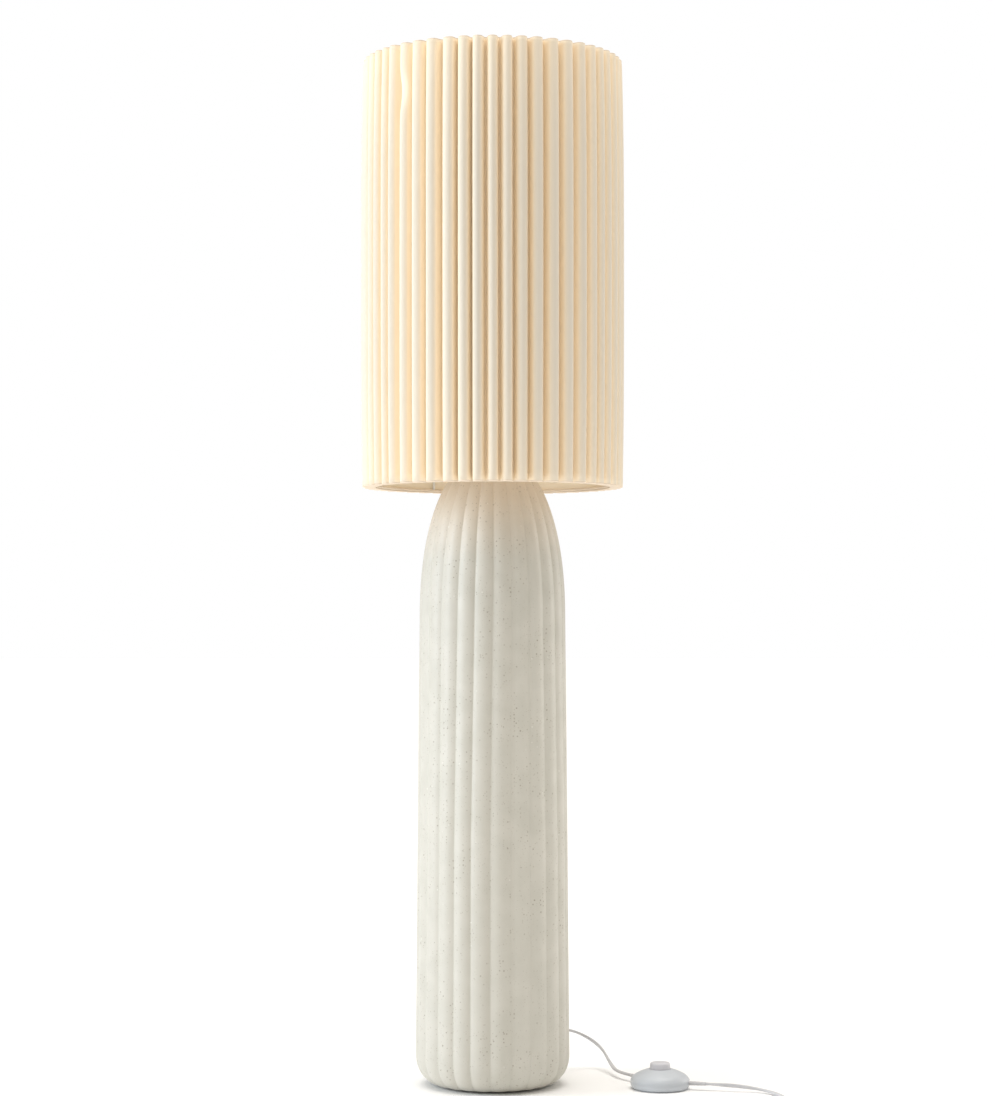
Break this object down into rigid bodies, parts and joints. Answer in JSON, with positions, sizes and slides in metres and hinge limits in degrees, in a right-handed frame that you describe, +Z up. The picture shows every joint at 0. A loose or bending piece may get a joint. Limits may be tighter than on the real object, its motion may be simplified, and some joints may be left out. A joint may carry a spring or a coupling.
{
  "type": "floor lamp",
  "caption": "Floor lamp with a tall ribbed ceramic body, a pleated drum shade, a screw bulb, and a lead with a round foot switch and a flat plug.",
  "frame": {"origin": "on the floor under the middle of the ceramic body, at the bottom of the felt pad", "axes": "+Z up along the lamp's axis, +Y away from the viewer, +X to the viewer's right"},
  "size_m": [0.5119, 0.4402, 1.2496],
  "materials": {
    "felt": "matt felt",
    "steel": "zinc plated",
    "ceramic": "satin glaze on stoneware",
    "black_rubber": "matt",
    "brass": "plain",
    "pale_plastic": "satin",
    "cord": "smooth pale flex",
    "holder": "moulded",
    "holder_ceramic": "glazed",
    "white_metal": "white powder coat",
    "liner": "smooth laminated lining",
    "pleats": "pleated cloth",
    "trim": "stiff card edge",
    "black_plastic": "moulded",
    "white_plastic": "moulded",
    "bulb_glass": "frosted",
    "switch_plastic": "moulded, pale",
    "tie": "soft strap",
    "plug_plastic": "moulded",
    "pin_metal": "bare"
  },
  "bodies": {
    "lamp": {"foot_pad": "felt", "base_plate": "steel", "bottom_washer": "steel", "bottom_nut": "steel", "ceramic_body": "ceramic", "tie_tube": "steel", "neck_gasket": "black_rubber", "neck_cap": "brass", "top_washer": "steel", "top_nut": "steel", "cord_grommet": "pale_plastic", "inner_cable": "cord", "holder_base": "holder", "holder_insert": "holder_ceramic", "terminal_screws": "brass", "holder_contact": "brass", "holder_shell": "brass", "holder_skirt": "holder", "clamp_ring": "holder", "switch_base_shell": "switch_plastic", "switch_top_shell": "switch_plastic", "switch_module": "black_plastic", "switch_screws": "steel", "switch_relief_in": "cord", "switch_relief_out": "cord", "base_cord": "cord", "plug_cord": "cord", "cord_coil": "cord", "coil_tie": "tie", "plug_lead": "cord", "plug_relief": "cord", "plug_body": "plug_plastic", "plug_pins": "pin_metal"},
    "shade": {"fitter_hub": "white_metal", "fitter_arm_right": "white_metal", "fitter_arm_back": "white_metal", "fitter_arm_front": "white_metal", "bottom_ring": "white_metal", "top_ring": "white_metal", "shade_liner": "liner", "pleated_cover": "pleats", "bottom_trim": "trim", "top_trim": "trim"},
    "bulb_lift": {"bulb_contact": "brass", "bulb_insulator": "black_plastic"},
    "bulb": {"bulb_cap": "steel", "bulb_housing": "white_plastic", "bulb_globe": "bulb_glass"},
    "foot_button": {"switch_button": "switch_plastic"}
  },
  "joints": [
    {"name": "shade_turn", "type": "hinge", "parent": "lamp", "child": "shade", "pos_m": [0, 0, 0.816], "axis": [0, 0, 1], "continuous": true},
    {"name": "bulb_rise", "type": "slide", "parent": "lamp", "child": "bulb_lift", "axis": [0, 0, 1], "range_m": [0, 0.01088]},
    {"name": "bulb_screw", "type": "hinge", "parent": "bulb_lift", "child": "bulb", "pos_m": [0, 0, 0.85], "axis": [0, 0, 1], "range_deg": [0, 1080]},
    {"name": "button_press", "type": "slide", "parent": "lamp", "child": "foot_button", "axis": [0, 0, -1], "range_m": [0, 0.0035], "stiffness_N_per_m": 900, "springref_m": -0.003}
  ],
  "couplings": [
    {"joint": "bulb_screw", "follows": "bulb_rise", "rad_per_m": 1731.4}
  ]
}
